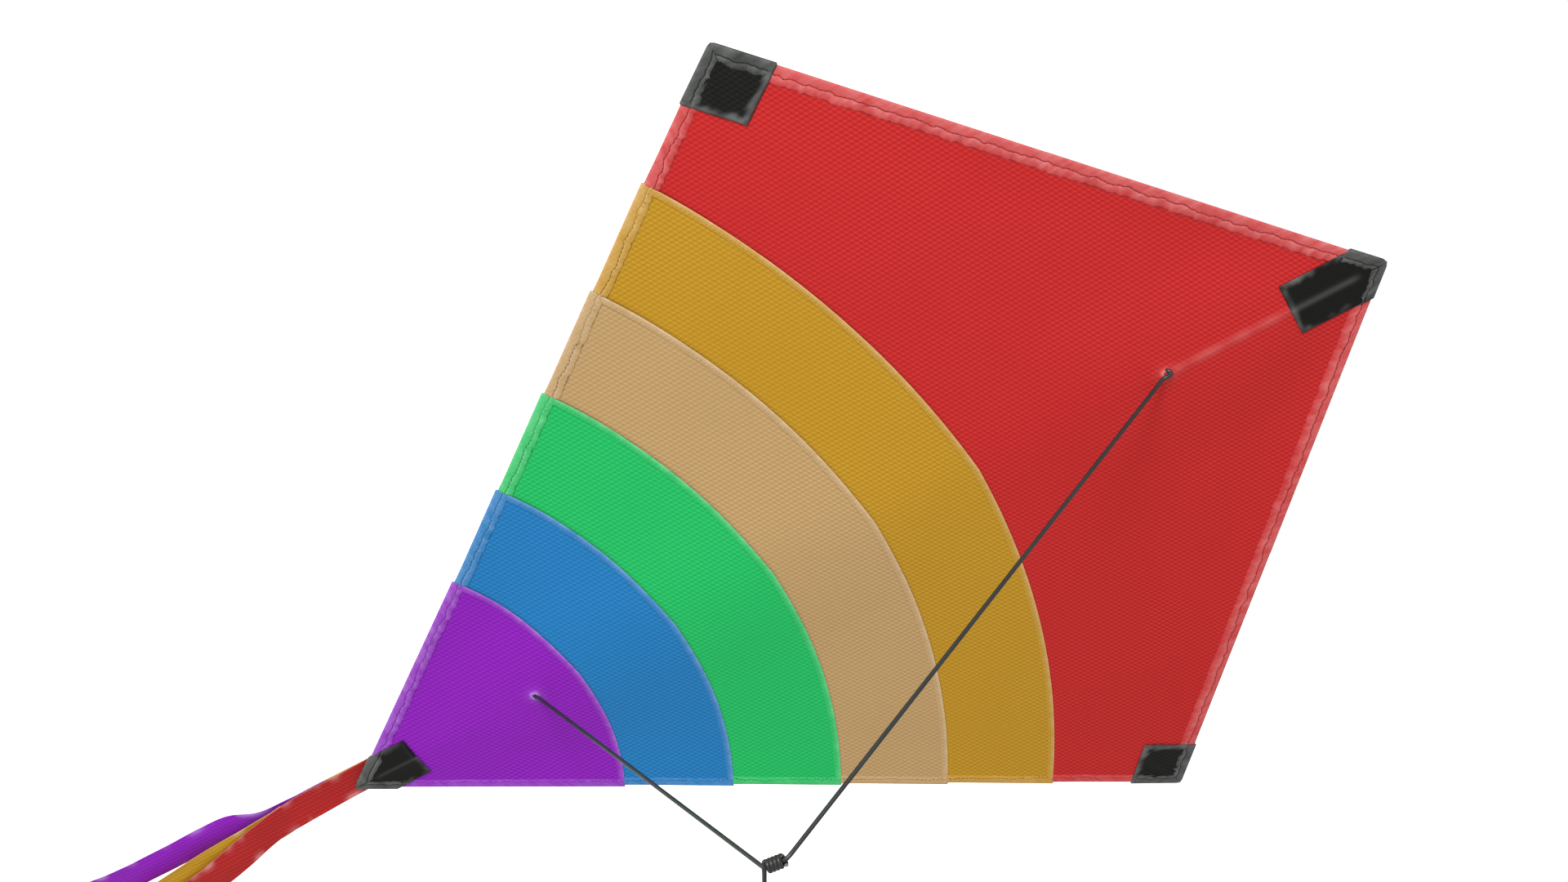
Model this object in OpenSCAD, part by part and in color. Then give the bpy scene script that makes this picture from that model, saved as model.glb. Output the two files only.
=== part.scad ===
// Diamond kite with a two-point bridle and three tail ribbons.
// Every sub-part is drawn from the tail point of the sail and then moved, so that
// the origin ends up in the eye of the tow loop.  +Z runs up the spine, -Y is the
// side that faces the flyer, and +X is the right wing seen from that side.

/* [Sail] */
// Length of the sail along the spine, tail point to nose point
sail_length = 750; // [700:10:800]
// Span from wing tip to wing tip
sail_span = 636; // [560:4:700]
// Height of the wing tips above the tail point
tip_height = 476; // [440:4:500]
// Angle by which each wing leans back
dihedral = 3; // [0:0.5:6]
// Thickness of the sail cloth
cloth = 0.4; // [0.3:0.1:0.5]
// Distance from the tail point to the first colour seam, on the spine
first_seam = 180; // [160:5:200]
// Distance from one colour seam to the next
seam_step = 74.5; // [65:0.5:78]

/* [Frame] */
// Diameter of the spine and of the cross spars
rod_d = 4; // [3.6:0.2:4.4]
// Distance from the front of the sail to the middle of the rods
rod_back = 3.2; // [3:0.1:3.6]
// Length of each socket of the cross fitting
socket_length = 34; // [25:1:45]
// Length of the caps on the rod ends
cap_length = 13; // [10:1:15]

/* [Corner pockets] */
// Thickness of the pocket fabric on each side of the sail
patch = 0.8; // [0.6:0.1:1]
// Length of a wing pocket along each edge of the sail
tip_patch = 39; // [34:1:44]
// Width of the nose pocket
nose_patch_w = 38; // [32:1:44]
// Length of the nose pocket along the spine
nose_patch_l = 62; // [56:1:70]
// Width of the tail pocket
tail_patch_w = 32; // [28:1:38]
// Length of the tail pocket along the spine
tail_patch_l = 50; // [46:1:60]

/* [Bridle] */
// Diameter of the bridle and tow cord
cord_d = 2.6; // [2.4:0.1:2.8]
// Height of the upper bridle hole above the tail point
upper_hole = 607; // [606:1:608]
// Height of the lower bridle hole above the tail point
lower_hole = 146; // [145:1:147]
// Number of turns in the tow hitch
hitch_turns = 5; // [4:1:5]

/* [Tail ribbons] */
// Width of one ribbon
ribbon_w = 22; // [16:1:26]
// Length of one ribbon
ribbon_length = 700; // [400:50:1200]
// Thickness of one ribbon
ribbon_t = 0.3; // [0.2:0.1:0.4]

/* [Hidden] */
$fn = 64;

// Colours
PURPLE = [0.52, 0.15, 0.68];
BLUE = [0.16, 0.48, 0.70];
GREEN = [0.17, 0.74, 0.40];
TAN = [0.76, 0.62, 0.43];
AMBER = [0.76, 0.58, 0.18];
RED = [0.76, 0.18, 0.18];
BLACK = [0.12, 0.12, 0.12];
CORD = [0.24, 0.24, 0.24];
GLASS_ROD = [0.85, 0.84, 0.78];
PLASTIC = [0.16, 0.16, 0.17];
CAP = [0.30, 0.30, 0.31];

// Wing edges.  Each wing is flat and is drawn in its own plane, X outwards and Z up.
half_w = sail_span / 2 / cos(dihedral);
wing_tip = [half_w, tip_height];
up_edge = unit([0, sail_length] - wing_tip);
down_edge = unit([0, 0] - wing_tip);
seams = 5;

// A colour seam is an arc, flatter than a circle about the tail point, and struck from
// a centre a little way across the spine, so that the two wings' arcs meet at a kink.
arc_radius = 1.27;
arc_drop = 0.27;
arc_across = 0.065;

// Rods and pockets
rod_r = rod_d / 2;
bore_gap = 0.05;
spine_foot = 16;
spine_head = sail_length - 18;
spar_root = 5;
spar_end = half_w - 13;
socket_r = 4;
fitting_front = cloth + 0.1;
wrap_front = cloth + 0.35;
cap_r = rod_r + 0.6;
cap_end = 2;
pouch_r = cap_r + 0.8;
pouch_bore = cap_r + 0.1;
ring_r = rod_back - cloth - 0.2;
ring_h = 5;
hole_r = cord_d / 2 + 0.4;
crease_lap = 1;
big = 2000;

// Bridle.  The cord lies in the plane of symmetry, from the lower hole through the tow
// hitch to the upper hole.
cord_r = cord_d / 2;
hitch_at = [0, -257, 316];
hitch_tilt = 6;
ring_step = 12;
lower_leg = [[0, -3.5, 148], [0, -252, 306.5]];
hitch_bend = [[0, -254.8, 308.4], [0, -256.4, 311], [0, -257.5, 321], [0, -257.4, 323.2]];
upper_leg = [[0, -256, 325.4], [0, -3, 604]];
leader_route = [[-2.7, -262.5, 310.8], [0, -349, 306.3]];

// The eye of the tow loop is the origin of the whole kite.
tow_eye = [0, -360, 306];
loop_r = 7;
loop_knot_r = 2.9;

// Tail ribbons hang behind the tail pocket.
tab_back = rod_back + pouch_r;
tab_t = 1;
tab_w = 16;
tab_top = 18;
tab_foot = -4;
header_w = 8;
header_t = 2.2;
header_top = -5.4;
header_foot = -12;
ribbon_top = -13.6;
ribbon_neck = 6;
ribbon_shoulder = 14;
ribbon_gap = 0.8;
ribbon_y = tab_back + tab_t / 2;

function unit(v) = v / norm(v);
function seam_r(i) = first_seam + i * seam_step;

// Cord tube: an eight-sided ring at each point of the route
function steps(a, b) = max(1, ceil(norm(b - a) / ring_step));
function fill(a, b) = [for (i = [0:steps(a, b) - 1]) a + (b - a) * i / steps(a, b)];
function filled(route) = concat(
    [for (i = [0:len(route) - 2]) each fill(route[i], route[i + 1])],
    [route[len(route) - 1]]
);
function heading(p, i) = unit(p[min(i + 1, len(p) - 1)] - p[max(i - 1, 0)]);
function ring(c, t) = [
    for (k = [0:7]) c + cord_r * (cos(45 * k) * [1, 0, 0] + sin(45 * k) * cross(t, [1, 0, 0]))
];

module tube(route) {
    path = filled(route);
    last = len(path) - 1;
    points = [for (i = [0:last]) each ring(path[i], heading(path, i))];
    sides = [
        for (i = [0:last - 1]) for (k = [0:7])
            [8 * i + k, 8 * i + 8 + k, 8 * i + 8 + (k + 1) % 8, 8 * i + (k + 1) % 8]
    ];
    ends = [[for (k = [0:7]) k], [for (k = [7:-1:0]) 8 * last + k]];
    polyhedron(points = points, faces = concat(sides, ends));
}

// Moves what was drawn from the tail point to its place in the kite's frame
module from_tail() {
    translate(-tow_eye) children();
}

// Right wing's plane, and both wings
module right_wing() {
    rotate([0, 0, dihedral]) children();
}

module both_wings() {
    right_wing() children();
    mirror([1, 0, 0]) right_wing() children();
}

// A flat shape drawn in X and Z, with its front at y = front
module slab(front, thickness) {
    translate([0, front + thickness, 0]) rotate([90, 0, 0]) linear_extrude(thickness) children();
}

// Everything behind y = front
module behind(front) {
    translate([-big / 2, front, -big / 2]) cube([big, big, big]);
}

// Sail
module wing_outline() {
    polygon([[0, 0], wing_tip, [0, sail_length]]);
}

module below_seam(i) {
    r = seam_r(i);
    translate([-arc_across * r, -arc_drop * r]) circle(r = arc_radius * r, $fn = 180);
}

module band_outline(i) {
    difference() {
        intersection() {
            wing_outline();
            if (i < seams) below_seam(i);
            else wing_outline();
        }
        if (i > 0) below_seam(i - 1);
        translate([0, upper_hole]) circle(r = hole_r);
        translate([0, lower_hole]) circle(r = hole_r);
    }
}

module band(i) {
    from_tail() both_wings() slab(0, cloth) band_outline(i);
}

module red_panel() { color(RED) band(5); }
module amber_panel() { color(AMBER) band(4); }
module tan_panel() { color(TAN) band(3); }
module green_panel() { color(GREEN) band(2); }
module blue_panel() { color(BLUE) band(1); }
module purple_panel() { color(PURPLE) band(0); }

// The sail as the pockets close over it
module sail_cut() {
    both_wings() slab(0, cloth) wing_outline();
}

// Wing pocket, in the plane of the right wing: fabric on both faces, wrapped over the
// two edges, with a pouch behind for the end of the spar
module tip_patch_outline() {
    corner = wing_tip - patch * (up_edge + down_edge);
    side = tip_patch + patch;
    polygon([
        corner,
        corner + side * up_edge,
        corner + side * (up_edge + down_edge),
        corner + side * down_edge
    ]);
}

module along_spar(from, to, r) {
    translate([from, rod_back, tip_height]) rotate([0, 90, 0]) cylinder(r = r, h = to - from);
}

module right_pocket_shape() {
    right_wing() difference() {
        union() {
            slab(-patch, cloth + 2 * patch) tip_patch_outline();
            intersection() {
                along_spar(half_w - 46, spar_end + cap_end + 2, pouch_r);
                behind(cloth + patch / 2);
            }
        }
        slab(0, cloth) wing_outline();
        along_spar(half_w - 60, spar_end + cap_end + 0.1, pouch_bore);
    }
}

module right_tip_pocket() { color(BLACK) from_tail() right_pocket_shape(); }
module left_tip_pocket() { color(BLACK) from_tail() mirror([1, 0, 0]) right_pocket_shape(); }

// Nose and tail pockets: a strip over the spine, clipped to the sail's corner.  The two
// halves of the strip lap a little at the crease.
module along_spine(from, to, r) {
    translate([0, rod_back, from]) cylinder(r = r, h = to - from);
}

module wrapped_sail() {
    grow = patch * norm(wing_tip) / half_w;
    translate([0, -grow]) scale((sail_length + 2 * grow) / sail_length) {
        wing_outline();
        mirror([1, 0]) wing_outline();
    }
}

module strip_pocket(foot, head, width, pouch_foot, pouch_head, bore_foot, bore_head) {
    difference() {
        union() {
            both_wings() slab(-patch, cloth + 2 * patch) intersection() {
                wrapped_sail();
                translate([-crease_lap, foot]) square([width / 2 + crease_lap, head - foot]);
            }
            intersection() {
                along_spine(pouch_foot, pouch_head, pouch_r);
                behind(cloth + patch / 2);
            }
        }
        sail_cut();
        along_spine(bore_foot, bore_head, pouch_bore);
    }
}

module nose_pocket() {
    color(BLACK) from_tail() strip_pocket(
        sail_length - nose_patch_l, sail_length + 2, nose_patch_w,
        sail_length - nose_patch_l + 3, spine_head + cap_end + 2,
        sail_length - nose_patch_l - 9, spine_head + cap_end + 0.1
    );
}

module tail_pocket() {
    color(BLACK) from_tail() strip_pocket(
        -2, tail_patch_l, tail_patch_w,
        spine_foot - cap_end - 2, tail_patch_l - 3,
        spine_foot - cap_end - 0.1, tail_patch_l + 9
    );
}

// Rods
module spine() { color(GLASS_ROD) from_tail() along_spine(spine_foot, spine_head, rod_r); }

module right_spar_shape() {
    right_wing() along_spar(spar_root, spar_end, rod_r);
}

module right_spar() { color(GLASS_ROD) from_tail() right_spar_shape(); }
module left_spar() { color(GLASS_ROD) from_tail() mirror([1, 0, 0]) right_spar_shape(); }

// Cross fitting: a sleeve on the spine with a blind socket for each spar
module socket_body() {
    along_spar(0, spar_root + socket_length, socket_r);
    slab(rod_back - 1, 2) polygon([
        [0, tip_height - 16], [16, tip_height], [0, tip_height + 16]
    ]);
}

module cross_fitting() {
    color(PLASTIC) from_tail() difference() {
        union() {
            both_wings() intersection() {
                socket_body();
                behind(fitting_front);
            }
            intersection() {
                along_spine(tip_height - socket_length / 2, tip_height + socket_length / 2, socket_r);
                behind(wrap_front);
            }
        }
        both_wings() along_spar(spar_root, spar_root + socket_length + 1, rod_r + bore_gap);
        along_spine(tip_height - socket_length, tip_height + socket_length, rod_r + bore_gap);
    }
}

// Stop rings that hold the fitting at its height on the spine
module stop_ring(foot) {
    color(CAP) from_tail() difference() {
        along_spine(foot, foot + ring_h, ring_r);
        along_spine(foot - 1, foot + ring_h + 1, rod_r);
    }
}

module upper_stop_ring() { stop_ring(tip_height + socket_length / 2); }
module lower_stop_ring() { stop_ring(tip_height - socket_length / 2 - ring_h); }

// Caps on the rod ends
module cap(rod_end, way) {
    from = way > 0 ? rod_end - cap_length + cap_end : rod_end - cap_end;
    difference() {
        cylinder_between(from, from + cap_length, cap_r);
        cylinder_between(rod_end - way * (cap_length + 1), rod_end, rod_r);
    }
}

module cylinder_between(a, b, r) {
    translate([0, 0, min(a, b)]) cylinder(r = r, h = abs(b - a));
}

module nose_cap() { color(CAP) from_tail() translate([0, rod_back, 0]) cap(spine_head, 1); }
module tail_cap() { color(CAP) from_tail() translate([0, rod_back, 0]) cap(spine_foot, -1); }

module right_cap_shape() {
    right_wing() translate([0, rod_back, tip_height]) rotate([0, 90, 0]) cap(spar_end, 1);
}

module right_spar_cap() { color(CAP) from_tail() right_cap_shape(); }
module left_spar_cap() { color(CAP) from_tail() mirror([1, 0, 0]) right_cap_shape(); }

// Bridle hitched round the spine: two turns, a knot behind, and the cord coming
// forward through the hole in the sail
module spine_hitch(height) {
    color(CORD) from_tail() difference() {
        union() {
            intersection() {
                translate([0, rod_back, height]) for (side = [-1, 1])
                    translate([0, 0, side * (cord_r - 0.05)])
                        rotate_extrude() translate([rod_r + cord_r - 0.1, 0]) circle(r = cord_r);
                behind(wrap_front);
            }
            translate([0, rod_back + rod_r + 2.2, height]) sphere(r = 2.4);
            translate([0, rod_back, height]) rotate([90, 0, 0]) cylinder(r = cord_r, h = rod_back + 1);
        }
        along_spine(height - 10, height + 10, rod_r);
    }
}

module upper_spine_hitch() { spine_hitch(upper_hole); }
module lower_spine_hitch() { spine_hitch(lower_hole); }

module bridle_line() {
    color(CORD) from_tail() tube(concat(lower_leg, hitch_bend, upper_leg));
}

// Tow hitch: the leader wrapped tightly round the bridle, with its cut end standing out
module tow_hitch() {
    pitch = cord_d - 0.1;
    length = pitch * hitch_turns;
    inner = cord_r + 0.3;
    stub_length = 5;
    color(CORD) from_tail() translate(hitch_at) rotate([hitch_tilt, 0, 0]) {
        rotate_extrude() {
            for (i = [0:hitch_turns - 1])
                translate([inner + cord_r, pitch * (i + 0.5) - length / 2]) circle(r = cord_r, $fn = 32);
            translate([inner, -length / 2 + 0.6]) square([cord_r, length - 1.2]);
        }
        translate([inner + cord_r, 0, length / 2 - cord_r]) rotate([90, 0, 0])
            cylinder(r = cord_r, h = stub_length);
    }
}

module leader_line() { color(CORD) from_tail() tube(leader_route); }

// Overhand loop at the end of the leader, for the flying line
module loop_knot() { color(CORD) translate([0, loop_r + cord_r + 1.2, 0]) sphere(r = loop_knot_r); }

module tow_loop() {
    color(CORD) rotate_extrude() translate([loop_r, 0]) circle(r = cord_r, $fn = 32);
}

// Tail: a tab sewn behind the tail pocket, the header that the ribbons are sewn to, and
// the ribbons, gathered at the top
module ribbon_tab() {
    color(BLACK) from_tail() difference() {
        translate([-tab_w / 2, tab_back - 0.6, tab_foot]) cube([tab_w, tab_t + 0.6, tab_top - tab_foot]);
        along_spine(tab_foot - 1, tab_top + 1, pouch_r);
    }
}

module ribbon_header() {
    color(BLACK) from_tail() translate([-header_w / 2, ribbon_y - header_t / 2, header_foot])
        cube([header_w, header_t, header_top - header_foot]);
}

module ribbon(order) {
    from_tail() translate([0, ribbon_y + order * ribbon_gap, ribbon_top])
        slab(-ribbon_t / 2, ribbon_t) polygon([
            [-ribbon_neck / 2, 0], [ribbon_neck / 2, 0],
            [ribbon_w / 2, -ribbon_shoulder], [ribbon_w / 2, -ribbon_length],
            [-ribbon_w / 2, -ribbon_length], [-ribbon_w / 2, -ribbon_shoulder]
        ]);
}

module red_ribbon() { color(RED) ribbon(-1); }
module amber_ribbon() { color(AMBER) ribbon(0); }
module purple_ribbon() { color(PURPLE) ribbon(1); }

red_panel();
amber_panel();
tan_panel();
green_panel();
blue_panel();
purple_panel();
nose_pocket();
tail_pocket();
left_tip_pocket();
right_tip_pocket();
spine();
left_spar();
right_spar();
cross_fitting();
upper_stop_ring();
lower_stop_ring();
nose_cap();
tail_cap();
left_spar_cap();
right_spar_cap();
upper_spine_hitch();
lower_spine_hitch();
bridle_line();
tow_hitch();
leader_line();
loop_knot();
tow_loop();
ribbon_tab();
ribbon_header();
red_ribbon();
amber_ribbon();
purple_ribbon();
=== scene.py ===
from math import atan2, ceil, copysign, cos, exp, hypot, pi, radians, sin, sqrt, tan, tau

import bpy
from mathutils import Matrix, Vector, noise


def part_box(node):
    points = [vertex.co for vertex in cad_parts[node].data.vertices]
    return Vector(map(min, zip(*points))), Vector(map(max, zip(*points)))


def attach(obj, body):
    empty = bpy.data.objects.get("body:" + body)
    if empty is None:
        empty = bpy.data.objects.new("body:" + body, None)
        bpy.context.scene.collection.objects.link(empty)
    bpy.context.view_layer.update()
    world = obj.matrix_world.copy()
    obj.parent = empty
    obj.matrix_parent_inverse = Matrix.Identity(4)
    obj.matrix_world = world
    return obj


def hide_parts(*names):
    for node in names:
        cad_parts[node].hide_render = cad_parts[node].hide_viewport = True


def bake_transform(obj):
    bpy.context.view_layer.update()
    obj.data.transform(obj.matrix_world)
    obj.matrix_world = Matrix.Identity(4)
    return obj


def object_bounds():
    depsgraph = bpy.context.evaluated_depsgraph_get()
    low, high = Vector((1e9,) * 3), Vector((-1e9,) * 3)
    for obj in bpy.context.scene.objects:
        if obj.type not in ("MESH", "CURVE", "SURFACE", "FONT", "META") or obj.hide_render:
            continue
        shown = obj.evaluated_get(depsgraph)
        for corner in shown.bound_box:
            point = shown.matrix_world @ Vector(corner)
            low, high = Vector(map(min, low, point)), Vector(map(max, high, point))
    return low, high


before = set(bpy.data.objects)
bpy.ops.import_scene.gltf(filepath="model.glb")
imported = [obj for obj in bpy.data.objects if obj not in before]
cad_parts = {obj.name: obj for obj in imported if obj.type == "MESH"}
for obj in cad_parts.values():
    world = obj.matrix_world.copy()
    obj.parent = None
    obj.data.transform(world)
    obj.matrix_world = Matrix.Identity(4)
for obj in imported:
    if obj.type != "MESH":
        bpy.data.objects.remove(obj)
cad_box = [list(corner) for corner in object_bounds()]

MM = 0.001

# ---- Places and sizes ----
# In millimetres from the tail point of the sail: x to the right wing,
# y away from the flyer, z up the spine.  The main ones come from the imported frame.
TAIL = Vector((0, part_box("red_panel")[0].y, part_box("purple_panel")[0].z))
SAIL_LENGTH = (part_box("red_panel")[1].z - TAIL.z) / MM
HALF_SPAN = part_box("red_panel")[1].x / MM
TIP_HEIGHT = ((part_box("right_spar")[0].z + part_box("right_spar")[1].z) / 2 - TAIL.z) / MM
ROD_Y = ((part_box("spine")[0].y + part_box("spine")[1].y) / 2 - TAIL.y) / MM
ROD_R = (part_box("spine")[1].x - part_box("spine")[0].x) / 2 / MM
DIHEDRAL = radians(3)
# Distance from the spine over which the fold between the wings is rounded
SPINE_ROUND = 18
HALF_W = HALF_SPAN / cos(DIHEDRAL)
TIP = Vector((HALF_W, TIP_HEIGHT))
TOE = Vector((0, 0))
NOSE = Vector((0, SAIL_LENGTH))
UP_EDGE = (NOSE - TIP).normalized()
DOWN_EDGE = (TOE - TIP).normalized()

# Colour seams: arcs struck from a centre below the tail and a little across the spine
SEAMS = [180, 254.5, 329, 403.5, 478]
ARC_RADIUS = 1.27
ARC_DROP = 0.27
ARC_ACROSS = 0.065
COLOURS = ["purple", "blue", "green", "tan", "amber", "red"]

UPPER_HOLE = 607
LOWER_HOLE = 146
CORD_D = 2.6
CORD_R = CORD_D / 2
TIP_PATCH = 39
NOSE_PATCH = (36.8, 61)
TAIL_PATCH = (32, 50)
RIBBON_W = 22
RIBBON_LENGTH = 700

# Cord routes, as the CAD model has them
LOWER_LEG = [(0, -3.5, 148), (0, -252, 306.5)]
HITCH_BEND = [(0, -254.8, 308.4), (0, -256.4, 311), (0, -257.5, 321), (0, -257.4, 323.2)]
UPPER_LEG = [(0, -256, 325.4), (0, -3, 604)]
UPPER_HOOK = [
    (0.3, -3.1, 606.6), (0, -3.1, 608.4), (-0.9, -2.9, 609.6), (-2.2, -2.3, 609.4), (-3.1, -1, 608),
    (-3.1, 0.7, 606.6), (-2.2, 2, 606),
]
LEADER = [(-2.7, -262.5, 310.8), (0, -349, 306.3)]
HITCH_AT = Vector((0, -257, 316))
HITCH_TILT = radians(6)
HITCH_TURNS = 5
LOOP_R = 7


def from_tail(p):
    """A point in millimetres from the tail point, in the row frame in metres."""
    return TAIL + Vector(p) * MM


# ---- Camera ----
CAMERA_AT = (-647.4, -1029.7, 655.9)
CAMERA_AIM = Vector((0.4685, 0.8543, -0.2249))
CAMERA_UP = Vector((-0.7253, 0.5173, 0.4543))


def make_camera():
    data = bpy.data.cameras.new("camera")
    data.sensor_width = 36
    data.lens = 45
    cam = bpy.data.objects.new("camera", data)
    bpy.context.scene.collection.objects.link(cam)
    aim = CAMERA_AIM.normalized()
    right = aim.cross(CAMERA_UP).normalized()
    up = right.cross(aim)
    turn = Matrix((right, up, -aim)).transposed().to_4x4()
    cam.matrix_world = Matrix.Translation(from_tail(CAMERA_AT)) @ turn
    bpy.context.scene.camera = cam


make_camera()


# ---- Materials ----
def linear(r, g, b):
    """An sRGB colour of 0 to 255 as linear RGBA."""
    def one(c):
        c /= 255
        return c / 12.92 if c <= 0.04045 else ((c + 0.055) / 1.055) ** 2.4
    return (one(r), one(g), one(b), 1)


CLOTH_RGB = {
    "purple": (144, 26, 188), "blue": (32, 125, 190), "green": (32, 192, 100),
    "tan": (194, 158, 107), "amber": (193, 145, 34), "red": (198, 38, 38),
}
# How much brighter than its colour a lit face comes out under this scene's lamps
LIGHT_LEVEL = 1.2


class Nodes:
    """A material's node tree, with short calls for what repeats."""

    def __init__(self, name, roughness, **fixed):
        self.material = bpy.data.materials.new(name)
        self.material.use_nodes = True
        self.tree = self.material.node_tree
        self.shader = self.tree.nodes["Principled BSDF"]
        self.shader.inputs["Roughness"].default_value = roughness
        for key, value in fixed.items():
            self.shader.inputs[key.replace("_", " ")].default_value = value

    def add(self, kind, inputs=(), **settings):
        """A node; its inputs are (socket, value or another node's output) pairs."""
        node = self.tree.nodes.new("ShaderNode" + kind)
        for key, value in settings.items():
            setattr(node, key, value)
        for key, value in inputs:
            if isinstance(value, bpy.types.NodeSocket):
                self.wire(value, node.inputs[key])
            else:
                node.inputs[key].default_value = value
        return node

    def wire(self, source, target):
        self.tree.links.new(source, target)

    def math(self, operation, *values):
        return self.add("Math", enumerate(values), operation=operation).outputs[0]

    def place(self):
        if not hasattr(self, "_place"):
            self._place = self.add("TexCoord").outputs["Object"]
        return self._place

    def along(self, direction):
        inputs = (0, self.place()), (1, direction)
        return self.add("VectorMath", inputs, operation="DOT_PRODUCT").outputs["Value"]

    def noise(self, scale, detail=2.0, roughness=0.5, place=None):
        place = place or self.place()
        inputs = ("Vector", place), ("Scale", scale), ("Detail", detail), ("Roughness", roughness)
        return self.add("TexNoise", inputs).outputs["Fac"]

    def ramp(self, value, low, high):
        """value, from low to high, as 0 to 1."""
        inputs = ("Value", value), ("From Min", low), ("From Max", high)
        return self.add("MapRange", inputs, interpolation_type="SMOOTHSTEP").outputs["Result"]

    def mix(self, factor, a, b):
        """A mix of two colours; a colour mix has them at its inputs 6 and 7."""
        return self.add("Mix", ((0, factor), (6, a), (7, b)), data_type="RGBA").outputs[2]

    def bump(self, height, distance, strength=1.0):
        inputs = ("Strength", strength), ("Distance", distance), ("Height", height)
        self.wire(self.add("Bump", inputs).outputs["Normal"], self.shader.inputs["Normal"])

    def colour(self, socket):
        self.wire(socket, self.shader.inputs["Base Color"])


def scaled(colour, k):
    return tuple(min(1.0, c * k) for c in colour[:3]) + (1,)


def paler(colour, k):
    return tuple(min(1.0, c + k) for c in colour[:3]) + (1,)


# Embossed lattice of the cloth: the directions and the pitches of its two waves
WAVES = ((radians(65.6), 5.36 * MM), (radians(-33.5), 3.36 * MM))


def emboss_pattern(n):
    """The lattice of small pillows, from 0 between them to 1 on top."""
    a, b = [ripple(n, n.along((cos(t), 0, sin(t))), pitch) for t, pitch in WAVES]
    return n.ramp(n.math("MULTIPLY", a, b), -0.75, 0.95)


def ripple(n, distance, pitch):
    return n.math("COSINE", n.math("MULTIPLY", distance, tau / pitch))


def painted_sheen_and_shade(n, shade, dark, light):
    """shade, with painted sheen towards light where the point attribute pale is above zero
    and painted shade towards dark where it is below."""
    pale = n.add("Attribute", attribute_name="pale").outputs["Fac"]
    grain = n.math("MULTIPLY", pale, n.ramp(n.noise(700, 3.0, 0.6), -0.6, 0.55))
    return n.mix(n.math("MULTIPLY", pale, -1.0), n.mix(grain, shade, light), dark)


# Share of painted highlight on the emboss's pillows and of painted shade in the gaps
# between them, and how much painted sheen lightens doubled cloth
PILLOW_HIGHLIGHT, GAP_SHADE = 0.12, 0.14
PAINTED_SHEEN = 0.17


def cloth_material(name, rgb, emboss=1.0):
    """Satin kite cloth, embossed with small staggered pillows.  The point attribute
    pale paints sheen on doubled and puckered cloth, and paints shade into stitched grooves."""
    base = scaled(linear(*rgb), 1 / LIGHT_LEVEL)
    n = Nodes(name, 0.5, Sheen_Weight=0.02, Sheen_Roughness=0.4, Specular_IOR_Level=0.09)
    pillow = emboss_pattern(n)
    weave = n.noise(1400, 3.0, 0.6)
    # Painted highlight on the pillow tops and painted shade in the gaps between them
    lit = scaled(paler(base, 0.01 * emboss), 1 + PILLOW_HIGHLIGHT * emboss)
    shade = n.mix(pillow, scaled(base, 1 - GAP_SHADE * emboss), lit)
    cloud = n.math("MULTIPLY", n.ramp(n.noise(7, 3.0, 0.55), 0.35, 0.8), 0.35)
    shade = n.mix(cloud, shade, scaled(base, 0.9))
    # Painted sheen and painted groove shade from the attribute pale
    n.colour(painted_sheen_and_shade(n, shade, scaled(base, 0.4), paler(base, PAINTED_SHEEN)))
    height = n.math("ADD", n.math("MULTIPLY", pillow, 0.9 * emboss), n.math("MULTIPLY", weave, 0.1))
    n.bump(height, 0.1 * MM)
    return n.material


# The ribbons' colours against the sail's
RIBBON_LEVEL = {"red": 0.9, "amber": 1.06, "purple": 1.03}


def toned(colour, level):
    return tuple(level * v for v in CLOTH_RGB[colour])


def pocket_material(name, rgb, emboss):
    """Heavy black pocket cloth, with painted grey sheen on its hems, turned edges and ridge
    crests where the attribute pale is high, and painted shade in its stitched grooves.
    """
    base = linear(*rgb)
    n = Nodes(name, 0.55, Sheen_Weight=0.02, Sheen_Roughness=0.5, Specular_IOR_Level=0.12)
    pillow = emboss_pattern(n)
    weave = n.noise(1500, 2.0, 0.6)
    # Painted highlight on the pillow tops and painted shade between them
    shade = n.mix(pillow, scaled(base, 1 - 0.35 * emboss), scaled(base, 1 + 1.0 * emboss))
    # Painted sheen and painted groove shade from the attribute pale
    n.colour(painted_sheen_and_shade(n, shade, linear(14, 14, 14), linear(112, 114, 112)))
    height = n.math("ADD", n.math("MULTIPLY", pillow, 0.8 * emboss), n.math("MULTIPLY", weave, 0.2))
    n.bump(height, 0.12 * MM)
    return n.material


BRAID_STRANDS = 8
BRAID_PITCH = 1.1 * MM


def cord_material():
    """Round braided cord with a waxed face: a fine diamond braid in the bump."""
    n = Nodes("cord_braid", 0.33, Specular_IOR_Level=0.4, Coat_Weight=0.1, Coat_Roughness=0.2)
    uv = n.add("UVMap", uv_map="cord").outputs["UV"]
    girth, length = n.add("SeparateXYZ", [(0, uv)]).outputs[:2]
    around = n.math("MULTIPLY", girth, tau * BRAID_STRANDS)
    along = n.math("MULTIPLY", length, tau / BRAID_PITCH)
    one = n.math("SINE", n.math("ADD", around, along))
    two = n.math("SINE", n.math("SUBTRACT", around, along))
    braid = n.ramp(n.math("MAXIMUM", one, two), -0.4, 1.0)
    grime = n.noise(60, 3.0)
    # Painted shade between the braid's strands, lighter on their crests
    dark = n.mix(braid, linear(31, 33, 32), linear(40, 43, 42))
    n.colour(n.mix(n.ramp(grime, 0.3, 0.8), dark, linear(44, 48, 46)))
    n.bump(braid, 0.012 * MM)
    return n.material


def cut_end_material():
    n = Nodes("cord_cut_end", 0.6)
    n.colour(n.mix(n.ramp(n.noise(2500, 3.0), 0.35, 0.65), linear(96, 97, 96), linear(150, 150, 148)))
    return n.material


def thread_material(name, rgb):
    n = Nodes(name, 0.5, Sheen_Weight=0.2)
    base = linear(*rgb)
    n.colour(n.mix(n.noise(3000, 2.0), scaled(base, 0.7), base))
    return n.material


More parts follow.
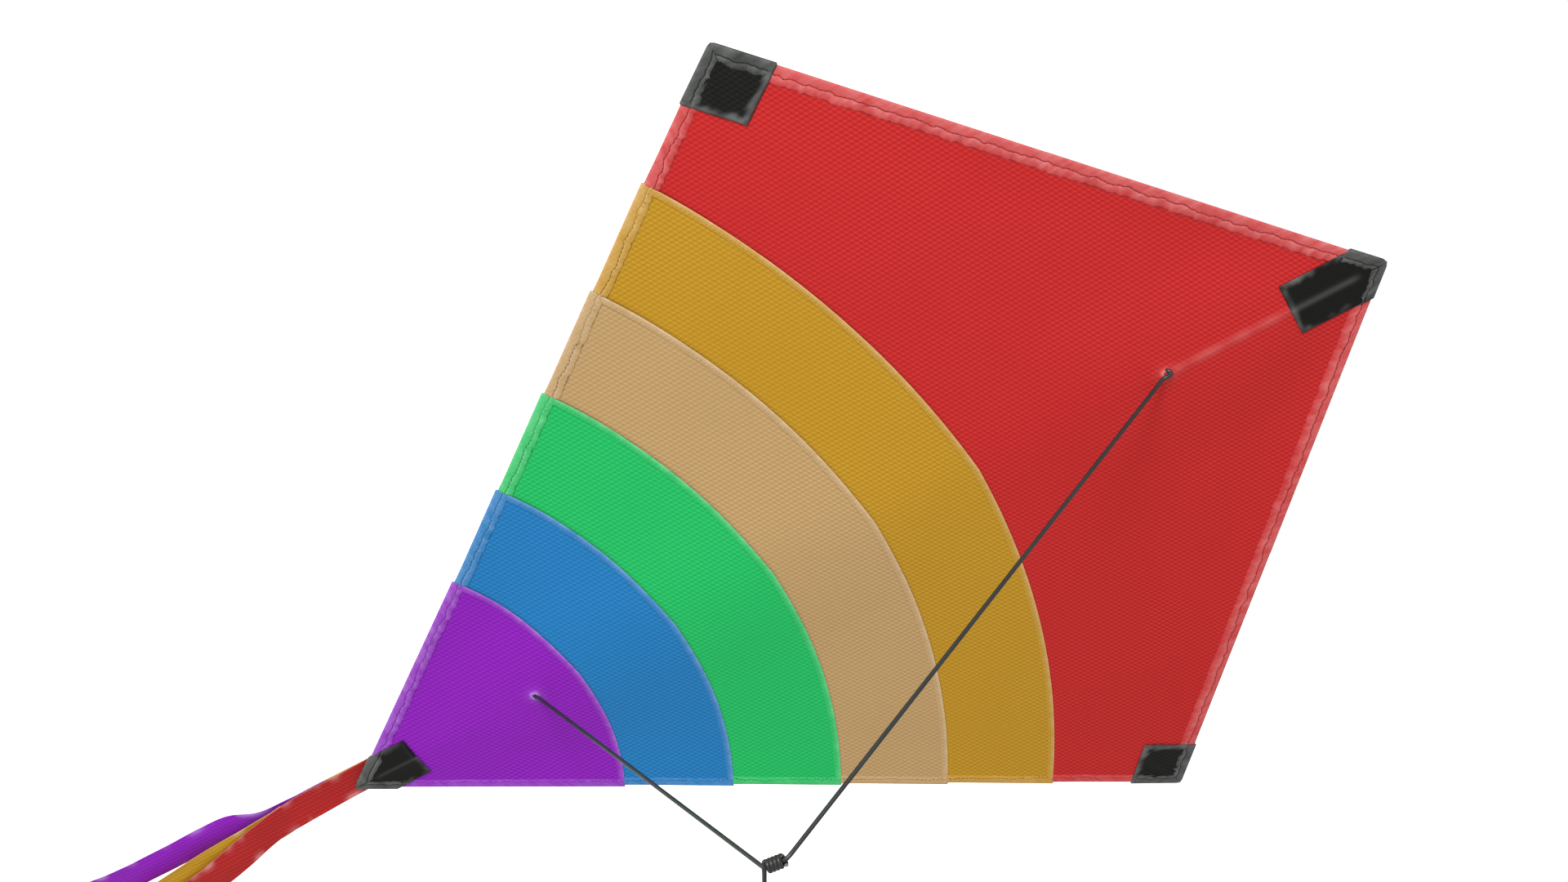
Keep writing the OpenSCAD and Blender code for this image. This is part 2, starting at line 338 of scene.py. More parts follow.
def rod_material():
    """Pultruded glass fibre: cream, with fine streaks along the rod and a resin gloss."""
    n = Nodes("fibreglass_rod", 0.28, Specular_IOR_Level=0.5, Coat_Weight=0.3, Coat_Roughness=0.15)
    stretch = n.add("Mapping", [("Vector", n.place()), ("Scale", (1, 1, 0.04))])
    streaks = n.ramp(n.noise(1800, 3.0, place=stretch.outputs["Vector"]), 0.3, 0.7)
    fibre = n.mix(streaks, linear(196, 192, 168), linear(228, 226, 210))
    n.colour(n.mix(n.ramp(n.noise(25), 0.55, 0.85), fibre, linear(180, 176, 152)))
    n.bump(streaks, 0.03 * MM)
    return n.material


def moulded_material(name, rgb, roughness, grain):
    n = Nodes(name, roughness, Specular_IOR_Level=0.45)
    base = linear(*rgb)
    pores = n.noise(grain, 3.0, 0.6)
    n.colour(n.mix(n.ramp(n.noise(40, 3.0), 0.3, 0.75), scaled(base, 0.75), scaled(base, 1.3)))
    n.bump(pores, 0.08 * MM, 0.6)
    return n.material


CLOTH = {c: cloth_material(c + "_cloth", CLOTH_RGB[c]) for c in COLOURS}
HEM_CLOTH = {c: cloth_material(c + "_hem_cloth", CLOTH_RGB[c], 0.6) for c in COLOURS}
RIBBON_CLOTH = {
    c: cloth_material(c + "_ribbon_cloth", toned(c, level), 0.8) for c, level in RIBBON_LEVEL.items()
}
THREAD = {c: thread_material(c + "_thread", toned(c, 0.5)) for c in COLOURS}
POCKET = pocket_material("pocket_cloth", (19, 19, 18), 0.7)
STRIP = pocket_material("pocket_webbing", (17, 17, 16), 0.1)
POCKET_HEM = pocket_material("pocket_hem_cloth", (27, 28, 27), 0.15)
BLACK_THREAD = thread_material("black_thread", (22, 22, 22))
CORD = cord_material()
CUT_END = cut_end_material()
ROD = rod_material()
FITTING = moulded_material("fitting_plastic", (46, 47, 49), 0.42, 900)
CAP = moulded_material("cap_vinyl", (40, 40, 42), 0.6, 1300)


# ---- Mesh helpers ----
def mesh_object(name, points, faces, material, pale=None, smooth=True):
    mesh = bpy.data.meshes.new(name)
    mesh.from_pydata([tuple(p) for p in points], [], faces)
    mesh.materials.append(material)
    if smooth:
        mesh.shade_smooth()
    if pale is not None:
        mesh.attributes.new("pale", "FLOAT", "POINT").data.foreach_set("value", pale)
    piece = bpy.data.objects.new(name, mesh)
    bpy.context.scene.collection.objects.link(piece)
    return piece


class Builder:
    """Collects grids and loops of points into one mesh, each with its paleness."""

    def __init__(self):
        self.points, self.faces, self.pale, self.slots = [], [], [], []

    def grid(self, rows, ring=False, caps=False, slot=0):
        """rows of points or of (point, pale) pairs, joined row to row; ring closes each
        row on itself."""
        start, wide = len(self.points), len(rows[0])
        for row in rows:
            for item in row:
                point, pale = item if isinstance(item, tuple) else (item, 0.0)
                self.points.append(point)
                self.pale.append(pale)
        last = wide if ring else wide - 1
        for i in range(len(rows) - 1):
            for j in range(last):
                k = (j + 1) % wide
                a, b = start + i * wide, start + (i + 1) * wide
                self.faces.append((a + j, a + k, b + k, b + j))
                self.slots.append(slot)
        if caps:
            self.faces.append(tuple(start + j for j in reversed(range(wide))))
            self.faces.append(tuple(start + (len(rows) - 1) * wide + j for j in range(wide)))
            self.slots += [slot, slot]
        return self

    def build(self, name, *materials, pale=True):
        pale = self.pale if pale else None
        piece = mesh_object(name, self.points, self.faces, materials[0], pale)
        for extra in materials[1:]:
            piece.data.materials.append(extra)
        piece.data.polygons.foreach_set("material_index", self.slots)
        return piece


def thicken(piece, thickness, offset=-1.0):
    """Gives a sheet a real thickness, behind its front face."""
    solid = piece.modifiers.new("thickness", "SOLIDIFY")
    solid.thickness = thickness * MM
    solid.offset = offset
    solid.use_even_offset = False
    return piece


def on_kite(piece, node=None):
    """Ties a piece to the kite's body, in place of its CAD node."""
    if node:
        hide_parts(node)
    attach(piece, "kite")
    return piece


def step_points(a, b, step):
    """Points from a to b, a step apart at most, both ends included."""
    count = max(1, ceil((b - a).length / step))
    return [a.lerp(b, i / count) for i in range(count + 1)]


def ease(t):
    t = min(1.0, max(0.0, t))
    return t * t * (3 - 2 * t)


def smooth_curve(knots, s):
    """A cubic through (s, value) knots, flat at both ends of the list."""
    if s <= knots[0][0]:
        return knots[0][1]
    if s >= knots[-1][0]:
        return knots[-1][1]
    i = max(k for k in range(len(knots) - 1) if knots[k][0] <= s)

    def slope(k):
        if k <= 0 or k >= len(knots) - 1:
            return 0.0
        return (knots[k + 1][1] - knots[k - 1][1]) / (knots[k + 1][0] - knots[k - 1][0])
    (s0, v0), (s1, v1) = knots[i], knots[i + 1]
    h = s1 - s0
    t = (s - s0) / h
    a = (1 + 2 * t) * (1 - t) ** 2 * v0 + t * (1 - t) ** 2 * h * slope(i)
    return a + t * t * (3 - 2 * t) * v1 + t * t * (t - 1) * h * slope(i + 1)


# ---- The cloth's surface ----
# (side, u, w): the wing, the distance out from the spine in the
# wing's own plane, and the height above the tail point.  n is the distance behind it.
BILLOW = 2.4
# Height over which the cross spar holds the cloth flat
SPAR_HOLD = 55
# Creases that fan out from a wing tip: height, reach and how many to the radian
CREASE, CREASE_REACH, CREASES = 0.45, 90, 13
# Slow unevenness of the cloth: height and size
DRIFT, DRIFT_SIZE = 0.22, 45
# Dome that a bridle hitch pushes out, and the ridge of the spine: height and half width
DOME, DOME_R = 1.3, 6.5
RIDGE, RIDGE_R = 0.5, 2.8


def falloff(distance, size):
    """1 at no distance, falling off smoothly over that size."""
    return exp(-((distance / size) ** 2))


def billow(side, u, w):
    """How far the cloth lies behind its flat plane: it is held by the rods and edges, and
    lifts off them a little in between; the spine presses through near the nose, and each
    bridle hitch pushes out a small dome."""
    edge = outline_u(w)
    across = sin(pi * min(1.0, u / edge)) if edge > 1 else 0
    off_spar = 1 - falloff(w - TIP_HEIGHT, SPAR_HOLD)
    n = BILLOW * across * off_spar * ease(edge / 110) * ease(u / 70)
    fold = hypot(u, SPINE_ROUND) - u - SPINE_ROUND
    n += fold * tan(DIHEDRAL) * ease((edge - u - 30) / 60)
    tip = hypot(u - TIP.x, w - TIP.y)
    angle = atan2(w - TIP.y, TIP.x - u)
    crease = CREASE * exp(-tip / CREASE_REACH) * sin(CREASES * angle + side)
    n += crease * ease(tip / 30) * ease((edge - u) / 12)
    drift = noise.noise(Vector((side * u / DRIFT_SIZE, w / DRIFT_SIZE, 3.0)))
    n += DRIFT * drift * ease((edge - u) / 20)
    n -= spine_ridge(u, w)
    for hole in (UPPER_HOLE, LOWER_HOLE):
        n -= DOME * falloff(hypot(u, w - hole), DOME_R)
    return n


def spine_ridge(u, w):
    """How far the spine presses the cloth forward, above the upper bridle hole."""
    run = ease((w - UPPER_HOLE + 4) / 8) * ease((SAIL_LENGTH - 25 - w) / 30)
    return RIDGE * run * falloff(u, RIDGE_R)


def outline_u(w):
    """Distance from the spine to the sail's edge at height w."""
    if w <= TIP.y:
        return max(0.0, TIP.x * w / TIP.y)
    return max(0.0, TIP.x * (SAIL_LENGTH - w) / (SAIL_LENGTH - TIP.y))


def on_sail(side, u, w, n=0.0):
    """The point n millimetres behind the cloth at (u, w) on that wing, in metres."""
    n += billow(side, u, w)
    x = u * cos(DIHEDRAL) - n * sin(DIHEDRAL)
    y = u * sin(DIHEDRAL) + n * cos(DIHEDRAL)
    return from_tail((side * x, y, w))


def arc_w(r, u):
    """Height of the seam arc of size r at distance u from the spine."""
    return -ARC_DROP * r + sqrt(max(0.0, (ARC_RADIUS * r) ** 2 - (u + ARC_ACROSS * r) ** 2))


def last_inside(low, high, inside):
    """The largest value between low and high that is still inside, by halving."""
    for _ in range(40):
        mid = (low + high) / 2
        low, high = (mid, high) if inside(mid) else (low, mid)
    return low


def arc_end(r):
    """Where the arc of size r meets the sail's edge: its distance from the spine."""
    return last_inside(0.0, TIP.x, lambda u: outline_u(arc_w(r, u)) > u)


def corner_size():
    """Size of the arc that passes through the wing tip."""
    return last_inside(SEAMS[-1], SAIL_LENGTH, lambda r: arc_w(r, TIP.x) < TIP.y)


# ---- Sail panels ----
# Stations of a row close to the spine, on rows longer than LONG_ROW, and the spacing of
# the rest along and across the cloth
NEAR_SPINE = [0, 0.9, 1.8, 2.8, 4, 5.6, 7.6]
LONG_ROW = 22
ROW_GAP, COLUMN_GAP = 3.4, 3.6
SAIL_THICK = 0.2


def stations(edge, count):
    """Distances from the spine at which a row has points, closer together near it."""
    k = min(1.0, edge / LONG_ROW)
    near = [d * k for d in NEAR_SPINE]
    rest = [near[-1] + (edge - near[-1]) * i / count for i in range(1, count + 1)]
    return near + rest


def panel_rows(i):
    """Sizes of the arcs along which panel i has its rows; one passes the wing tips."""
    low = SEAMS[i - 1] if i else 3
    corner = corner_size()
    high = SEAMS[i] if i < len(SEAMS) else SAIL_LENGTH + 0.5
    marks = [low, corner, high] if low < corner < high else [low, high]
    rows = []
    for a, b in zip(marks, marks[1:]):
        count = ceil((b - a) / ROW_GAP)
        rows += [a + (b - a) * k / count for k in range(count)]
    return rows + [high]


def panel(i):
    """One band of the sail, right across both wings."""
    colour = COLOURS[i]
    rows = panel_rows(i)
    count = ceil(arc_end(min(rows[-1], corner_size())) / COLUMN_GAP)
    grid = []
    for r in rows:
        row = []
        spots = stations(arc_end(r), count)
        for side, u in [(-1, u) for u in reversed(spots[1:])] + [(1, u) for u in spots]:
            w = arc_w(r, u)
            row.append((on_sail(side, u, min(w, SAIL_LENGTH)), ridge_highlight(u, w)))
        grid.append(row)
    piece = thicken(Builder().grid(grid).build(colour + "_sail", CLOTH[colour]), SAIL_THICK)
    return on_kite(piece, colour + "_panel")


def ridge_highlight(u, w):
    """Painted highlight on the spine's ridge and on the rims of the bridle holes."""
    ridge = ease((w - UPPER_HOLE - 2) / 6) * falloff(u, RIDGE_R)
    rims = sum(falloff(hypot(u, w - h), 5) for h in (UPPER_HOLE, LOWER_HOLE))
    return 0.22 * ridge * (1.1 + ragged(w, 9, 2)) + 0.3 * rims


def ragged(s, step, seed):
    """Smooth unevenness along s, from about -1 to 1, that turns every step or so."""
    return noise.noise(Vector((s / step, seed, 0.5)))


# Lapped seam, as (distance past the seam, distance behind the cloth, pucker, pale):
# front face from the lower panel's turned edge inwards, then into the cloth; pale is
# painted sheen along the turned edge
SEAM_FORM = [
    (0.5, 0.10, 0.0, 0.3), (0.45, -0.20, 0.1, 0.95), (0.1, -0.30, 0.15, 0.8),
    (-0.4, -0.31, 0.2, 0.42), (-1.1, -0.28, 0.2, 0.38), (-1.9, -0.22, 0.25, 0.3),
    (-2.7, -0.15, 0.25, 0.18), (-3.6, -0.07, 0.15, 0.07), (-4.6, 0.05, 0.0, 0.0),
]
# The same seam from behind: the upper panel's turned edge
BACK_SEAM_FORM = [
    (-0.6, 0.12, 0.0, 0.3), (-0.5, 0.5, 0.15, 0.8), (0.6, 0.58, 0.2, 0.5),
    (2.6, 0.54, 0.25, 0.4), (4.6, 0.4, 0.2, 0.3), (6.4, 0.12, 0.0, 0.0),
]


SEAM_STEP = 1.3


def seam(i, form, colour, name):
    """A strip along seam i, right across both wings."""
    r = SEAMS[i]
    end = arc_end(r)
    count = ceil(end / SEAM_STEP)
    grid = []
    for k in range(-count, count + 1):
        side, u = (1 if k >= 0 else -1), abs(k) / count * (end - 0.4)
        s = k * SEAM_STEP
        row = []
        for across, n, pucker, light in form:
            wave = ragged(s, 3.1, i + 1) + 0.6 * ragged(s, 7.5, i + 9)
            size = r + across + 1.2 * pucker * ragged(s, 9.0, across + i)
            v = u * size / r
            lift = n - copysign(0.22 * pucker * wave, -n)
            # Painted sheen along the seam's turned edge, varying with its puckers
            row.append((on_sail(side, v, arc_w(size, v), lift), light * (0.9 + 0.4 * wave)))
        grid.append(row)
    piece = Builder().grid(grid, ring=True, caps=True).build(name, HEM_CLOTH[colour])
    return on_kite(piece)


# Hem, as (share of the band's width, distance beyond it, distance behind the cloth,
# pucker, pale): front band, stitched groove, puckered ridge that fades into the panel,
# then the plain back.  pale is painted sheen, and below zero it is painted shade in the
# stitched groove
HEM_FORM = [
    (-0.06, 0.0, 0.05, 0.0, 0.3), (0.02, 0.0, -0.40, 0.1, 0.62), (0.14, 0.0, -0.58, 0.2, 0.55),
    (0.38, 0.0, -0.58, 0.4, 0.48), (0.64, 0.0, -0.56, 0.4, 0.44), (0.86, 0.0, -0.56, 0.3, 0.42),
    (0.94, 0.0, -0.44, 0.2, 0.3), (1.0, 0.0, -0.28, 0.1, -0.6), (1.0, 0.35, -0.44, 0.2, 0.35),
    (1.0, 1.0, -0.58, 0.4, 0.62), (1.0, 1.8, -0.54, 0.6, 0.55), (1.0, 2.8, -0.40, 0.8, 0.45),
    (1.0, 4.0, -0.25, 0.9, 0.33), (1.0, 5.4, -0.12, 0.8, 0.22), (1.0, 7.0, 0.04, 0.5, 0.1),
    (1.0, 4.6, 0.40, 0.0, 0.1), (1.0, 0.6, 0.50, 0.2, 0.2), (0.94, 0.0, 0.50, 0.2, 0.2),
    (0.3, 0.0, 0.62, 0.2, 0.2), (0.03, 0.0, 0.50, 0.1, 0.4),
]
HEM_STEP = 1.2
# Length over which a hem's square run turns into a blunt end, and the widest angle that
# still makes a rounded corner
SPLAY = 20
CORNER = radians(60)
# Farther than any corner
FAR = 99
# How far a ridge's teeth reach, the height of its puckers, and how far a corner is drawn in
TOOTH, PUCKER, CORNER_ROUND = 2.1, 0.2, 0.9
# Width of the band, reach of the ridge and strength of the painted sheen of each hem
HEM_LOOKS = {
    ("leading", -1): (5.5, 0.9, 1.0), ("leading", 1): (4.1, 0.9, 0.9),
    ("trailing", -1): (5.2, 0.7, 0.95), ("trailing", 1): (4.1, 0.34, 0.6),
}
# Strength of the painted sheen on the pockets' hems, and on each colour's hems
POCKET_PALE = 0.9
HEM_PALE = {"purple": 1.0, "blue": 0.8, "green": 0.9, "tan": 0.62, "amber": 0.9, "red": 1.0}


def wander(s, seed):
    """How far the stitched groove strays from its line."""
    return 1.3 * ragged(s, 9.0, seed) + 1.0 * ragged(s, 3.3, seed + 3)


def inwards(a, b):
    """The direction from the edge a-b towards the inside of the sail."""
    run = (b - a).normalized()
    inward = Vector((-run.y, run.x))
    return inward if inward.dot(Vector((0, TIP.y)) - (a + b) / 2) > 0 else -inward


SQUARE = 0.0, 0.0


def hem_strip(builder, side, a, b, seed, looks, flare=(0.0, 0.0), lift=0.0, mitre=SQUARE):
    """One hem along the sail's edge from a to b, looks as in HEM_LOOKS.  flare sets the
    edge in or out at the two ends, because each panel laps over the next.  mitre is the
    angle of the cut at each end, or zero where it is square."""
    run = (b - a).normalized()
    inward = inwards(a, b)
    length = (b - a).length
    count = ceil(length / HEM_STEP)
    grid = []
    width, fade, sheen_level = looks
    for k in range(count + 1):
        s = length * k / count
        edge = a.lerp(b, k / count) - inward * (flare[0] + (flare[1] - flare[0]) * k / count)
        tooth = ragged(s, 2.3, seed + 2) + 0.7 * ragged(s, 5.5, seed + 6)
        gaps = s, length - s
        corner = min([FAR] + [gap for angle, gap in zip(mitre, gaps) if 0 < angle < CORNER])
        row = []
        for share, beyond, n, pucker, light in HEM_FORM:
            depth = share * width + beyond * fade
            wave = ragged(s + 0.9 * depth, 2.4, seed) + 0.6 * ragged(s - 0.5 * depth, 6, seed + 5)
            front = n < 0
            reach = depth + (TOOTH * fade * pucker * tooth if front and beyond > 1.5 else 0)
            if front:
                reach += wander(s, seed) * ease(share * width / 5) * ease((7 - beyond) / 3)
            p = edge + inward * reach
            near, away = [run * mitre_shift(angle, reach, gap) for angle, gap in zip(mitre, gaps)]
            p += near - away
            p += inward * CORNER_ROUND * ease(1 - corner / 3) * ease(1 - depth / 3)
            lifted = n + (lift if front else -0.6 * lift) - copysign(PUCKER * pucker * wave, -n)
            # Painted sheen on the band and ridge, varying with the puckers, and painted shade in the
            # stitched groove where light is below zero
            pale = light * (sheen_level if light > 0 else 1) * (1 + 0.55 * wave)
            row.append((on_sail(side, max(0.0, p.x), p.y, lifted), pale))
        grid.append(row)
    builder.grid(grid, ring=True, caps=True)


def mitre_shift(angle, depth, distance):
    """How far along the edge a point of that depth moves away from a hem's end: inwards,
    to stay on its own side of a corner's bisector, or outwards where the angle is blunt."""
    if angle > pi / 2:
        return depth / tan(angle) * max(0.0, 1 - distance / SPLAY)
    return max(0.0, depth / tan(angle) - distance) if angle else 0.0


def edge_point(distance):
    """The point that far from the tail along the trailing edge."""
    return -DOWN_EDGE * distance


TAIL_HEM_START = 20


def leading_hem():
    """Both ends of the hem between a wing pocket and the nose pocket."""
    return TIP + UP_EDGE * (TIP_PATCH - 8), TIP + UP_EDGE * ((NOSE - TIP).length - 21)


def hem_looks(kind, side, colour):
    """Width, reach and painted sheen of a panel's hem; the left one narrows near the tail."""
    width, fade, sheen_level = HEM_LOOKS[kind, side]
    if kind == "trailing" and side < 0:
        width *= 0.84 + 0.16 * ease(COLOURS.index(colour) / 3)
    return width, fade, sheen_level * HEM_PALE[colour]


def hem_span(i, tuck):
    """Where the trailing hem of panel i starts and ends along the edge; at the wing tip
    it goes that far under the pocket."""
    start = arc_point(SEAMS[i - 1]) if i else TAIL_HEM_START
    end = arc_point(SEAMS[i]) if i < len(SEAMS) else TIP.length - TIP_PATCH + tuck
    return edge_point(start), edge_point(end + 0.5)


def panel_hems(i):
    colour = COLOURS[i]
    builder = Builder()
    for side in (-1, 1):
        flare = (-0.5 if i else 0.0, 1.2 if i < len(SEAMS) else 0.2)
        looks = hem_looks("trailing", side, colour)
        hem_strip(builder, side, *hem_span(i, 8), 10 * i + side, looks, flare)
        if i == len(SEAMS):
            hem_strip(builder, side, *leading_hem(), 70 + side, hem_looks("leading", side, colour))
    return on_kite(builder.build(colour + "_hem", HEM_CLOTH[colour]))


def arc_point(r):
    """Distance along the trailing edge at which the arc of size r ends."""
    u = arc_end(r)
    return hypot(u, arc_w(r, u))


# ---- Stitching ----
STITCH_STEP = 2.9
STITCH_R = 0.24
SEAM_STITCH_R = 0.14
# One stitch, as (distance along, share of its thickness, height above the cloth)
STITCH_FORM = [(-1.15, 0.12, -0.3), (-0.8, 0.8, 0), (0, 1, 0.06), (0.8, 0.8, 0), (1.15, 0.12, -0.3)]


def stitch_run(builder, line, seed, thick=STITCH_R, slot=0):
    """Stitches along a line of (side, u, w, n) points: short threads that dip at both
    ends, alternately a little to each side."""
    spots = [on_sail(*p) for p in line]
    start = line[0][:3]
    outward = (on_sail(*start, -1) - on_sail(*start)).normalized()
    travelled, marks = 0.0, [0.0]
    for p, q in zip(spots, spots[1:]):
        travelled += (q - p).length
        marks.append(travelled)
    count = int(travelled / (STITCH_STEP * MM))
    for k in range(count):
        centre = (k + 0.5) * STITCH_STEP * MM
        i = max(0, min(len(spots) - 2, sum(m <= centre for m in marks) - 1))
        run = (spots[i + 1] - spots[i]).normalized()
        middle = spots[i] + run * (centre - marks[i])
        sideways = outward.cross(run)
        skew = 0.22 * (1 if k % 2 else -1) + 0.12 * ragged(k, 1.7, seed)
        run = (run + sideways * skew).normalized()
        rows = []
        for t, r, dip in STITCH_FORM:
            at = middle + run * (t * MM) + outward * (dip * MM)
            rows.append([
                at + (sideways * cos(a) + outward * sin(a)) * (r * thick * MM)
                for a in (tau * j / 6 for j in range(6))
            ])
        builder.grid(rows, ring=True, caps=True, slot=slot)


def stitching(i):
    """The stitches of panel i: both sides' hems, and the seam at its upper edge."""
    builder = Builder()
    for side in (-1, 1):
        width = hem_looks("trailing", side, COLOURS[i])[0]
        hem_stitches(builder, side, *hem_span(i, 4), 10 * i + side, width)
        if i == len(SEAMS):
            hem_stitches(builder, side, *leading_hem(), 70 + side, HEM_LOOKS["leading", side][0])
        if i < len(SEAMS):
            size = SEAMS[i] - 2.2
            end = arc_end(size) - 12
            us = [end * k / 60 for k in range(61)]
            line = [(side, u, arc_w(size, u), -0.28) for u in us]
            stitch_run(builder, line, i + 20, SEAM_STITCH_R, 1)
    piece = builder.build(COLOURS[i] + "_stitching", THREAD[COLOURS[i]], HEM_CLOTH[COLOURS[i]])
    return on_kite(piece)


def hem_stitches(builder, side, a, b, seed, width, n=-0.38, mitre=SQUARE):
    """Stitches that keep to the groove of the hem from a to b, width in from the edge."""
    run = (b - a).normalized()
    inward = inwards(a, b)
    length = (b - a).length
    first = width / tan(mitre[0]) if mitre[0] else 1
    last = length - (width / tan(mitre[1]) if mitre[1] else 1)
    count = ceil((last - first) / 2)
    line = []
    for k in range(count + 1):
        s = first + (last - first) * k / count
        p = a + run * s + inward * (width + wander(s, seed))
        line.append((side, max(0.0, p.x), p.y, n))
    stitch_run(builder, line, seed)


# ---- Corner pockets ----
POCKET_THICK = 0.5
POUCH_R = 3.5
# Half width of a pouch's foot and length of its closed end
POUCH_FOOT, POUCH_END = 7.5, 9
# How far the two leaves of a pocket lie behind the cloth
FRONT_LEAF = -1.0
BACK_LEAF = 0.95
# How far the hems of the nose and tail pockets stand out over the sail's edge, and the
# reach of their ridges
POCKET_OUT, STRIP_FADE = 0.9, 0.62
TIP_STEPS = 44
STRIP_COLUMNS = 38


def pouch_height(along, off, length):
    """How far a pouch stands behind its leaf: a tube over the rod end, closed at the
    outer end.  along runs from the open mouth to the closed end."""
    end = 1 - ease((along - length + POUCH_END) / POUCH_END)
    body = max(0.0, 1 - (off / POUCH_FOOT) ** 2) ** 0.5
    hump = ROD_Y + POUCH_R - BACK_LEAF - 0.2
    return hump * end * ease(body * 1.15) if along >= 0 else 0.0


def corner_cut(u, w):
    """How far the corners of the pockets are rounded off, at a point of their edge."""
    return sum(1.2 * ease(1 - hypot(u - p.x, w - p.y) / 4.5) for p in (TIP, NOSE, TOE))


def pocket_leaves(name, front, back, cloth):
    piece = Builder().grid(front).grid(back).build(name + "_cloth", cloth)
    on_kite(thicken(piece, POCKET_THICK), name)


def tip_pocket(side, name, size, upper_hem, lower_hem, fade):
    """Wing tip pocket of that size along the edges, with the widths of its two hems and
    the reach of their ridges."""
    corner = TIP - 0.7 * (UP_EDGE + DOWN_EDGE)
    size += 0.7
    steps = TIP_STEPS
    length = size * 1.15
    front, back = [], []
    for i in range(steps + 1):
        rows = [], []
        for j in range(steps + 1):
            p = corner + UP_EDGE * (size * i / steps) + DOWN_EDGE * (size * j / steps)
            p -= (TIP - TOE).normalized() * corner_cut(p.x, p.y)
            inner = min(steps - i, steps - j) / steps * size
            outer = min(i, j) / steps * size
            lap = 0.3 * ease((4.5 - inner) / 1.5)
            pucker = 0.2 * ragged(i + 0.37 * j, 2.3, 31) * ease((16 - outer) / 6)
            front_n = FRONT_LEAF - lap + pucker + 0.5 * ease((0.8 - inner) / 0.8)
            # Painted sheen along the pocket's turned inner edges, patchy and with a ragged reach
            patchiness = 0.5 + 0.8 * ragged(i * 0.9, 7, 12) + 0.6 * ragged(j * 0.9, 6, 17)
            fringe = 5.2 + 2.4 * ragged(i + 0.6 * j, 4, 19)
            edge_sheen = max(0.0, patchiness + 0.25) * ease((fringe - inner) / 4) * 0.62
            rows[0].append((on_sail(side, p.x, p.y, front_n), edge_sheen))
            along = max(0.0, length - (TIP.x - p.x) + 2)
            hump = pouch_height(along, p.y - TIP.y, length)
            rows[1].append(on_sail(side, p.x, p.y, BACK_LEAF + hump - 0.4 * pucker))
        front.append(rows[0][::-side])
        back.append(rows[1][::side])
    pocket_leaves(name, front, back, POCKET)

    half = UP_EDGE.angle(DOWN_EDGE) / 2
    ends = half, pi - 2 * half
    upper = side, corner, corner + UP_EDGE * (size - 0.4), (upper_hem, fade), ends
    lower = side, corner, corner + DOWN_EDGE * (size - 0.4), (lower_hem, fade), ends
    pocket_hems(name, [upper, lower], 41 + side)


def pocket_hems(name, runs, seed):
    """Hem bands and their stitching over a pocket; each run is a wing, two ends, the
    band's width and reach and the angles at which the ends are mitred."""
    bands, threads = Builder(), Builder()
    for i, (side, a, b, (width, fade), mitre) in enumerate(runs):
        hem_strip(bands, side, a, b, seed + i, (width, fade, POCKET_PALE), (0.2, 0.4), -0.75, mitre)
        hem_stitches(threads, side, a, b, seed + i, width, -1.12, mitre)
    on_kite(bands.build(name + "_hem", POCKET_HEM))
    on_kite(threads.build(name + "_stitching", BLACK_THREAD))


def strip_pocket(name, foot, head, width, mouth_at_head):
    """Nose or tail pocket: a webbing strip over the spine, on both faces of the sail."""
    rows = ceil(head - foot)
    cols = STRIP_COLUMNS
    point = TOE if mouth_at_head else NOSE
    front, back = [], []
    for i in range(rows + 1):
        w = foot + (head - foot) * i / rows
        reach = min(width / 2, outline_u(w) + 0.9)
        lines = [], []
        for j in range(cols + 1):
            x = reach * (2 * j / cols - 1)
            side, u = (1 if x >= 0 else -1), abs(x)
            lower = w + copysign(corner_cut(u, w), TIP.y - w)
            from_side = width / 2 - u
            from_mouth = (head - w) if mouth_at_head else (w - foot)
            rim = min(from_side, from_mouth)
            turned = 0.3 * ease((4.0 - rim) / 1.5) - 0.5 * ease((0.7 - rim) / 0.7)
            edge = hypot(u - point.x, w - point.y)
            ridge = falloff(u, 2.4) * ease((edge - 12) / 10) * (0.3 if point is NOSE else 0.5)
            hump = pouch_height(from_mouth, u, head - foot - 6)
            lines[1].append(on_sail(side, u, lower, BACK_LEAF + hump))
            # Painted sheen along the pocket's turned edges, patchy and with a ragged reach, and weaker
            # on the tail pocket's left side
            patchiness = 0.3 + 1.2 * ragged(w, 9, 3 + side) + 0.6 * ragged(x, 7, 5)
            fringe = 4.6 + 2.6 * ragged(w + 0.5 * x, 4, 23)
            edge_sheen = max(0.0, patchiness + 0.15) * ease((fringe - rim) / 4) * 0.6
            edge_sheen *= 0.3 if point is TOE and side < 0 else 1
            # Painted highlight along the crest of the spine's ridge
            highlight_level, half = (0.26, 1.9) if point is NOSE else (0.16, 1.0)
            crest_highlight = highlight_level * falloff(u, half) * ease((edge - 14) / 8)
            leaf = on_sail(side, u, lower, FRONT_LEAF - turned - ridge)
            lines[0].append((leaf, min(1.0, edge_sheen + crest_highlight)))
        front.append(lines[0])
        back.append(lines[1][::-1])
    pocket_leaves(name, front, back, STRIP)


def strip_hems(name, point, edge, length, widths, seed):
    """Hems over a strip pocket, along both edges of the sail that meet at that point."""
    up = 1 if point is NOSE else -1
    half = edge.angle(Vector((0, up)))
    tip = point + Vector((0, up * POCKET_OUT / sin(half)))
    far = point - edge * length - inwards(point, TIP) * POCKET_OUT
    ends = pi - half, half
    way = (far, tip, ends) if point is NOSE else (tip, far, ends[::-1])
    runs = [(side, *way[:2], (width, STRIP_FADE), way[2]) for side, width in zip((-1, 1), widths)]
    pocket_hems(name, runs, seed)


